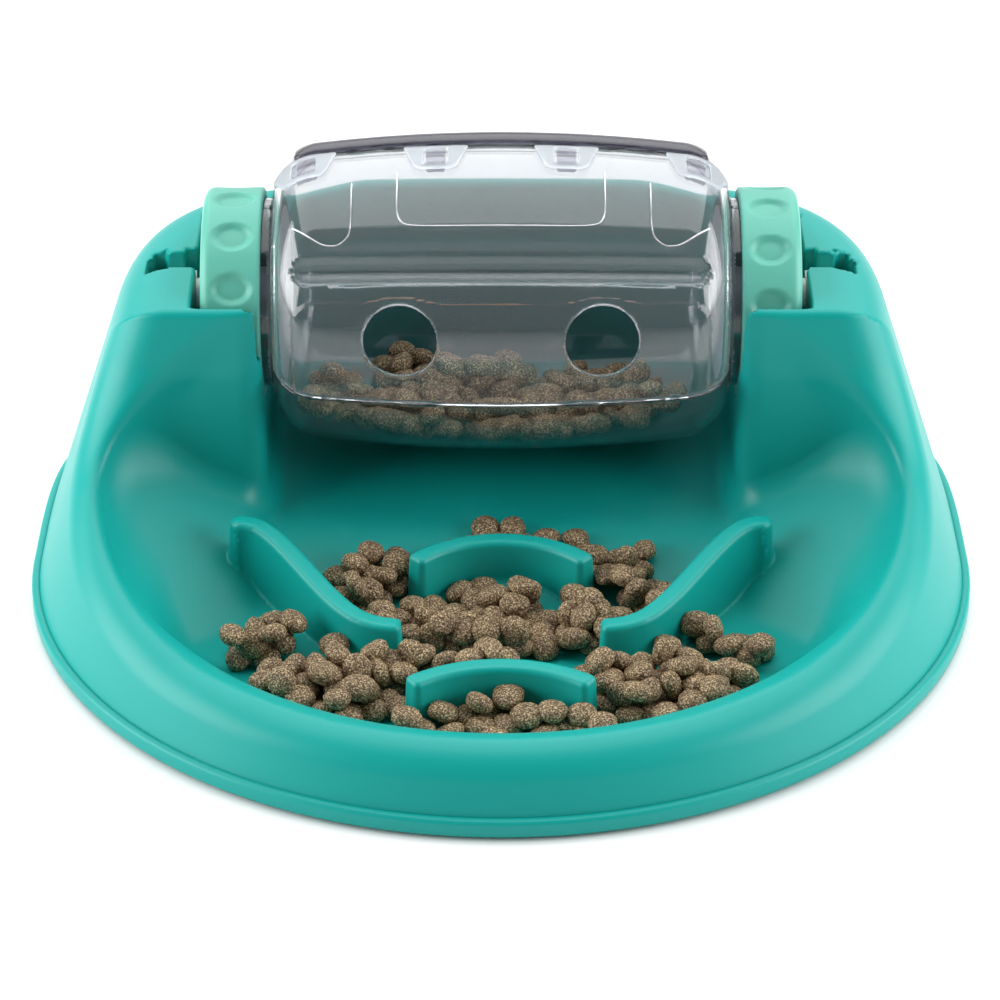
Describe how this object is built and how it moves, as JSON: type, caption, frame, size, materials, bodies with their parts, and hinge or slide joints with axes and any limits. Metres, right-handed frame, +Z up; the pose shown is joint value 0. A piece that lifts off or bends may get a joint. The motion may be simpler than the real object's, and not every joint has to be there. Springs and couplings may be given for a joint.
{
  "type": "rolling treat-dispensing pet feeder",
  "caption": "Floor feeder for dry pet food: a clear drum on stub axles rolls in a moulded base and drops food through its lid into a maze bowl.",
  "frame": {"origin": "middle of the footprint, on the surface that the feet stand on", "axes": "+Z up, the bowl's front faces -Y, the drum turns about an axis along X"},
  "size_m": [0.3283, 0.286, 0.1445],
  "materials": {
    "base_plastic": "satin moulded polypropylene",
    "ring_plastic": "satin moulded plastic",
    "clear_plastic": "clear, polished",
    "smoke_plastic": "smoke tinted, polished",
    "frosted_plastic": "frosted",
    "pin_plastic": "natural acetal",
    "foot_rubber": "matt"
  },
  "bodies": {
    "base": {"base_shell": "base_plastic", "foot_pad_1": "foot_rubber", "foot_pad_2": "foot_rubber", "foot_pad_3": "foot_rubber", "foot_pad_4": "foot_rubber", "foot_pad_5": "foot_rubber", "foot_pad_6": "foot_rubber", "foot_pad_7": "foot_rubber", "maze_ridge_rear": "base_plastic", "maze_ridge_front": "base_plastic", "maze_ridge_right": "base_plastic", "maze_ridge_left": "base_plastic"},
    "axle_pins": {"axle_pin_left": "pin_plastic", "axle_pin_right": "pin_plastic"},
    "drum": {"drum_body": "clear_plastic", "end_hub_left": "clear_plastic", "end_hub_right": "clear_plastic", "top_rail": "smoke_plastic", "latch_hooks": "clear_plastic"},
    "lid": {"drum_lid": "clear_plastic", "latch_tab_1": "frosted_plastic", "latch_tab_2": "frosted_plastic", "latch_tab_3": "frosted_plastic", "latch_tab_4": "frosted_plastic"},
    "ring_left": {"grip_ring_left": "ring_plastic"},
    "ring_right": {"grip_ring_right": "ring_plastic"}
  },
  "joints": [
    {"name": "drum_lift", "type": "slide", "parent": "base", "child": "axle_pins", "axis": [0, 0, 1], "range_m": [0, 0.12]},
    {"name": "drum_spin", "type": "hinge", "parent": "axle_pins", "child": "drum", "pos_m": [0, 0.0665, 0.088], "axis": [1, 0, 0], "continuous": true},
    {"name": "lid_open", "type": "hinge", "parent": "drum", "child": "lid", "pos_m": [0, 0.01362, 0.07082], "axis": [1, 0, 0], "range_deg": [0, 75]},
    {"name": "ring_left_twist", "type": "hinge", "parent": "drum", "child": "ring_left", "pos_m": [0, 0.0665, 0.088], "axis": [1, 0, 0], "range_deg": [0, 40]},
    {"name": "ring_right_twist", "type": "hinge", "parent": "drum", "child": "ring_right", "pos_m": [0, 0.0665, 0.088], "axis": [1, 0, 0], "range_deg": [0, 40]}
  ]
}
